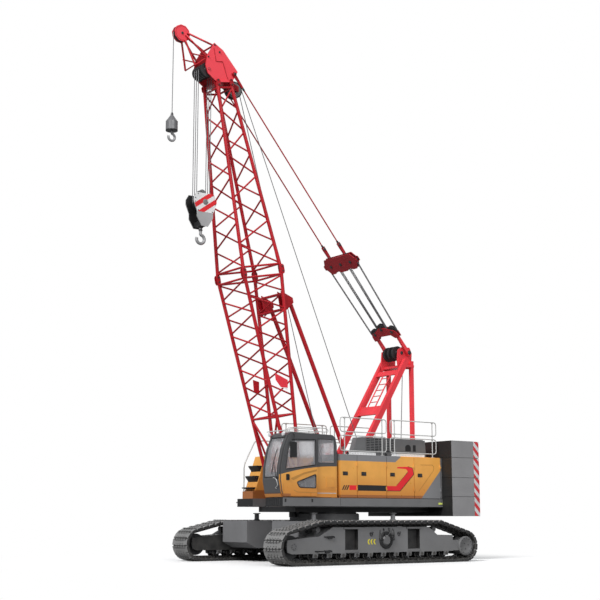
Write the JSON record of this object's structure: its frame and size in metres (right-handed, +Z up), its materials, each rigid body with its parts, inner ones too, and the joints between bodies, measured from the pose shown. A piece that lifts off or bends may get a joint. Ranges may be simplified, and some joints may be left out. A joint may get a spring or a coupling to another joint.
{
  "type": "crawler crane",
  "caption": "Lattice-boom crawler crane that lifts loads on hook blocks and travels on two tracks.",
  "frame": {"origin": "on the ground under the slewing axis", "axes": "+X towards the boom and the cab's front, +Y towards the cab's side, +Z up"},
  "size_m": [11.2301, 6.1, 16.9114],
  "materials": {
    "track_paint": "worn satin",
    "works_grey": "satin",
    "dark_steel": "satin",
    "deck_grey": "satin",
    "body_yellow": "gloss",
    "boom_red": "gloss",
    "bright_rod": "polished",
    "rope_steel": "dull",
    "rail_paint": "satin",
    "window_glass": "clear",
    "seat_plastic": "matt",
    "engine_iron": "painted"
  },
  "bodies": {
    "lower_works": {"carbody": "works_grey", "carbody_weights": "works_grey", "slew_ring_lower": "works_grey", "track_frame_left": "works_grey", "track_frame_right": "works_grey", "track_left": "track_paint", "track_right": "track_paint", "track_wheels_left": "dark_steel", "track_wheels_right": "dark_steel"},
    "upper": {"deck": "deck_grey", "left_housing": "body_yellow", "right_housing": "body_yellow", "engine": "engine_iron", "engine_hood": "deck_grey", "handrails": "rail_paint", "access_steps": "dark_steel", "cab_shell": "body_yellow", "cab_glass": "window_glass", "cab_seat": "seat_plastic", "counterweight_tray": "deck_grey", "counterweight_slabs": "deck_grey", "gantry": "boom_red", "gantry_sheaves": "dark_steel", "winch_frames": "deck_grey", "luff_drum": "dark_steel", "luff_winch_line": "rope_steel"},
    "cab_door": {"cab_door": "body_yellow", "cab_door_glass": "window_glass"},
    "boom": {"boom_lower": "boom_red", "boom_upper": "boom_red", "boom_head": "boom_red", "guide_sheaves": "dark_steel", "aux_tip": "boom_red"},
    "lower_spreader": {"lower_spreader": "boom_red", "luff_ropes": "rope_steel"},
    "bridle": {"bridle": "boom_red", "pendants": "boom_red"},
    "backstop_rods": {"backstop_rods": "bright_rod"},
    "backstop_tubes": {"backstop_tubes": "boom_red"},
    "main_drum": {"main_drum": "dark_steel"},
    "main_line": {"main_line": "rope_steel"},
    "aux_drum": {"aux_drum": "dark_steel"},
    "aux_line": {"aux_line": "rope_steel"},
    "main_falls": {"head_sheaves": "dark_steel", "main_falls": "rope_steel"},
    "hook_block": {"hook_block": "boom_red"},
    "main_hook": {"main_hook": "boom_red"},
    "aux_falls": {"aux_tip_sheave": "dark_steel", "aux_rope": "rope_steel"},
    "aux_weight": {"aux_weight": "boom_red"},
    "aux_hook": {"aux_hook": "boom_red"},
    "left_door_1": {"left_door_1": "body_yellow"},
    "left_door_2": {"left_door_2": "body_yellow"},
    "left_door_3": {"left_door_3": "body_yellow"},
    "left_door_4": {"left_door_4": "body_yellow"},
    "right_door_1": {"right_door_1": "body_yellow"},
    "right_door_2": {"right_door_2": "body_yellow"},
    "right_door_3": {"right_door_3": "body_yellow"}
  },
  "joints": [
    {"name": "slew", "type": "hinge", "parent": "lower_works", "child": "upper", "pos_m": [0, 0, 1.5], "axis": [0, 0, 1], "continuous": true},
    {"name": "luff", "type": "hinge", "parent": "upper", "child": "boom", "pos_m": [1.5, 0, 1.935], "axis": [0, 1, 0], "range_deg": [-3.8, 48]},
    {"name": "stay_swing", "type": "hinge", "parent": "upper", "child": "lower_spreader", "pos_m": [-3.28, 0, 7], "axis": [0, 1, 0], "range_deg": [-3.34, 42.14]},
    {"name": "stay_haul", "type": "slide", "parent": "lower_spreader", "child": "bridle", "axis": [0.6465, 0, 0.7629], "range_m": [-0.435, 5.4936], "deforming": ["luff_ropes"]},
    {"name": "backstop_swing", "type": "hinge", "parent": "upper", "child": "backstop_rods", "pos_m": [-0.45, 0, 3.45], "axis": [0, 1, 0], "range_deg": [-3.56, 44.94]},
    {"name": "backstop_slide", "type": "slide", "parent": "backstop_rods", "child": "backstop_tubes", "axis": [0.4261, 0, 0.9047], "range_m": [-0.157, 1.9821]},
    {"name": "main_drum_swing", "type": "hinge", "parent": "upper", "child": "main_drum", "pos_m": [-1.6, 0, 2.6], "axis": [0, 1, 0], "range_deg": [-3.38, 42.7]},
    {"name": "main_line_slide", "type": "slide", "parent": "main_drum", "child": "main_line", "axis": [0.39, 0, 0.9208], "range_m": [-0.1733, 2.1878], "deforming": ["main_line"]},
    {"name": "aux_drum_swing", "type": "hinge", "parent": "upper", "child": "aux_drum", "pos_m": [0.15, 0, 2.6], "axis": [0, 1, 0], "range_deg": [-3.71, 46.89]},
    {"name": "aux_line_slide", "type": "slide", "parent": "aux_drum", "child": "aux_line", "axis": [0.2733, 0, 0.9619], "range_m": [-0.0946, 1.1939], "deforming": ["aux_line"]},
    {"name": "main_falls_swing", "type": "hinge", "parent": "boom", "child": "main_falls", "pos_m": [4.87448, 0, 15.53237], "axis": [0, 1, 0], "range_deg": [-48.05, 3.8]},
    {"name": "main_hoist", "type": "slide", "parent": "main_falls", "child": "hook_block", "axis": [0, 0, 1], "range_m": [-2.5, 1], "deforming": ["main_falls"]},
    {"name": "main_hook_swivel", "type": "hinge", "parent": "hook_block", "child": "main_hook", "pos_m": [4.87448, 0, 10.4], "axis": [0, 0, 1], "continuous": true},
    {"name": "aux_falls_swing", "type": "hinge", "parent": "boom", "child": "aux_falls", "pos_m": [5.72212, 0, 16.63238], "axis": [0, 1, 0], "range_deg": [-48.05, 3.8]},
    {"name": "aux_hoist", "type": "slide", "parent": "aux_falls", "child": "aux_weight", "axis": [0, 0, 1], "range_m": [-4.5, 2], "deforming": ["aux_rope"]},
    {"name": "aux_hook_swivel", "type": "hinge", "parent": "aux_weight", "child": "aux_hook", "pos_m": [5.99012, 0, 13.34], "axis": [0, 0, 1], "continuous": true},
    {"name": "cab_door_slide", "type": "slide", "parent": "upper", "child": "cab_door", "axis": [-1, 0, 0], "range_m": [0, 0.74]},
    {"name": "left_door_1_hinge", "type": "hinge", "parent": "upper", "child": "left_door_1", "pos_m": [0.02, 1.715, 2.67], "axis": [0, 0, 1], "range_deg": [0, 95]},
    {"name": "left_door_2_hinge", "type": "hinge", "parent": "upper", "child": "left_door_2", "pos_m": [-1.2, 1.715, 2.67], "axis": [0, 0, 1], "range_deg": [0, 95]},
    {"name": "left_door_3_hinge", "type": "hinge", "parent": "upper", "child": "left_door_3", "pos_m": [-2.39, 1.715, 2.67], "axis": [0, 0, 1], "range_deg": [0, 95]},
    {"name": "left_door_4_hinge", "type": "hinge", "parent": "upper", "child": "left_door_4", "pos_m": [-3.565, 1.715, 2.67], "axis": [0, 0, 1], "range_deg": [0, 80]},
    {"name": "right_door_1_hinge", "type": "hinge", "parent": "upper", "child": "right_door_1", "pos_m": [0, -1.715, 2.67], "axis": [0, 0, -1], "range_deg": [0, 95]},
    {"name": "right_door_2_hinge", "type": "hinge", "parent": "upper", "child": "right_door_2", "pos_m": [-1.77, -1.715, 2.67], "axis": [0, 0, -1], "range_deg": [0, 95]},
    {"name": "right_door_3_hinge", "type": "hinge", "parent": "upper", "child": "right_door_3", "pos_m": [-3.565, -1.715, 2.67], "axis": [0, 0, -1], "range_deg": [0, 80]}
  ],
  "couplings": [
    {"joint": "stay_swing", "follows": "luff", "ratio": 0.87698},
    {"joint": "stay_haul", "follows": "luff", "m_per_rad": 6.5508},
    {"joint": "backstop_swing", "follows": "luff", "ratio": 0.93527},
    {"joint": "backstop_slide", "follows": "luff", "m_per_rad": 2.3635},
    {"joint": "main_drum_swing", "follows": "luff", "ratio": 0.8887},
    {"joint": "main_line_slide", "follows": "luff", "m_per_rad": 2.6087},
    {"joint": "aux_drum_swing", "follows": "luff", "ratio": 0.97582},
    {"joint": "aux_line_slide", "follows": "luff", "m_per_rad": 1.4236},
    {"joint": "main_falls_swing", "follows": "luff", "ratio": -1},
    {"joint": "aux_falls_swing", "follows": "luff", "ratio": -1}
  ]
}
